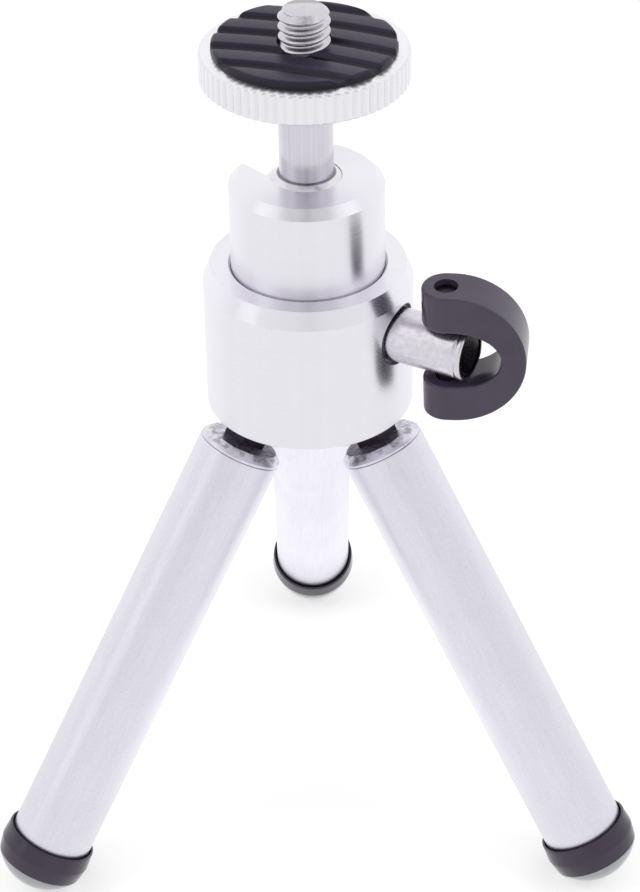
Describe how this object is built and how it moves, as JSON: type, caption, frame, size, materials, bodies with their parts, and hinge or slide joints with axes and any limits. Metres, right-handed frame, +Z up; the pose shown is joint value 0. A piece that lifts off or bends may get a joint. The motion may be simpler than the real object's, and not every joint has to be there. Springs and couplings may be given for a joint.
{
  "type": "mini table tripod",
  "caption": "Small table tripod with folding tubular legs, a ball head locked by a wing clamp, and a padded platform with a camera screw.",
  "frame": {"origin": "on the floor, on the axis of the body, with the legs open", "axes": "+Z up along the camera screw with the head upright; +Y towards the rear leg; the clamp is on the right, at +X and a little to the front"},
  "size_m": [0.0868, 0.0768, 0.1197],
  "materials": {
    "turned_aluminium": "lathe-turned, clear anodised",
    "anodised_tube": "satin anodised",
    "steel": "polished, nickel plated",
    "foot_rubber": "moulded, slightly glossy",
    "pad_rubber": "matte, grooved",
    "lever_plastic": "satin moulded",
    "seat_plastic": "natural acetal"
  },
  "bodies": {
    "body": {"body": "turned_aluminium", "leg_hub": "turned_aluminium", "leg_pin_left": "steel", "leg_pin_right": "steel", "leg_pin_rear": "steel", "clamp_cone": "turned_aluminium"},
    "collar": {"ball_collar": "turned_aluminium", "ball_seat": "seat_plastic"},
    "ball": {"ball": "steel"},
    "head": {"stem": "steel", "platform": "turned_aluminium", "platform_pad": "pad_rubber", "camera_stud": "steel"},
    "clamp": {"clamp_screw": "steel", "lever_pin": "steel"},
    "lever": {"clamp_lever": "lever_plastic"},
    "leg_left": {"leg_head_left": "turned_aluminium", "leg_tube_left": "anodised_tube", "foot_cap_left": "foot_rubber"},
    "leg_right": {"leg_head_right": "turned_aluminium", "leg_tube_right": "anodised_tube", "foot_cap_right": "foot_rubber"},
    "leg_rear": {"leg_head_rear": "turned_aluminium", "leg_tube_rear": "anodised_tube", "foot_cap_rear": "foot_rubber"}
  },
  "joints": [
    {"name": "collar_pan", "type": "hinge", "parent": "body", "child": "collar", "pos_m": [0, 0, 0.09175], "axis": [0, 0, 1], "continuous": true},
    {"name": "ball_tilt", "type": "hinge", "parent": "collar", "child": "ball", "pos_m": [0, 0, 0.09175], "axis": [0.7349, 0.6782, 0], "range_deg": [-90, 8]},
    {"name": "head_spin", "type": "hinge", "parent": "ball", "child": "head", "pos_m": [0, 0, 0.09175], "axis": [0, 0, 1], "continuous": true},
    {"name": "clamp_turn", "type": "hinge", "parent": "body", "child": "clamp", "pos_m": [0, 0, 0.07805], "axis": [0.866, -0.5, 0], "range_deg": [0, 360]},
    {"name": "lever_swing", "type": "hinge", "parent": "clamp", "child": "lever", "pos_m": [0.01706, -0.00985, 0.07805], "axis": [-0.0305, -0.0529, 0.9981], "range_deg": [-112, 68]},
    {"name": "leg_fold_left", "type": "hinge", "parent": "body", "child": "leg_left", "pos_m": [-0.00563, -0.00325, 0.06715], "axis": [0.5, -0.866, 0], "range_deg": [0, 29.7]},
    {"name": "leg_fold_right", "type": "hinge", "parent": "body", "child": "leg_right", "pos_m": [0.00563, -0.00325, 0.06715], "axis": [0.5, 0.866, 0], "range_deg": [0, 29.7]},
    {"name": "leg_fold_rear", "type": "hinge", "parent": "body", "child": "leg_rear", "pos_m": [0, 0.0065, 0.06715], "axis": [-1, 0, 0], "range_deg": [0, 29.7]}
  ]
}
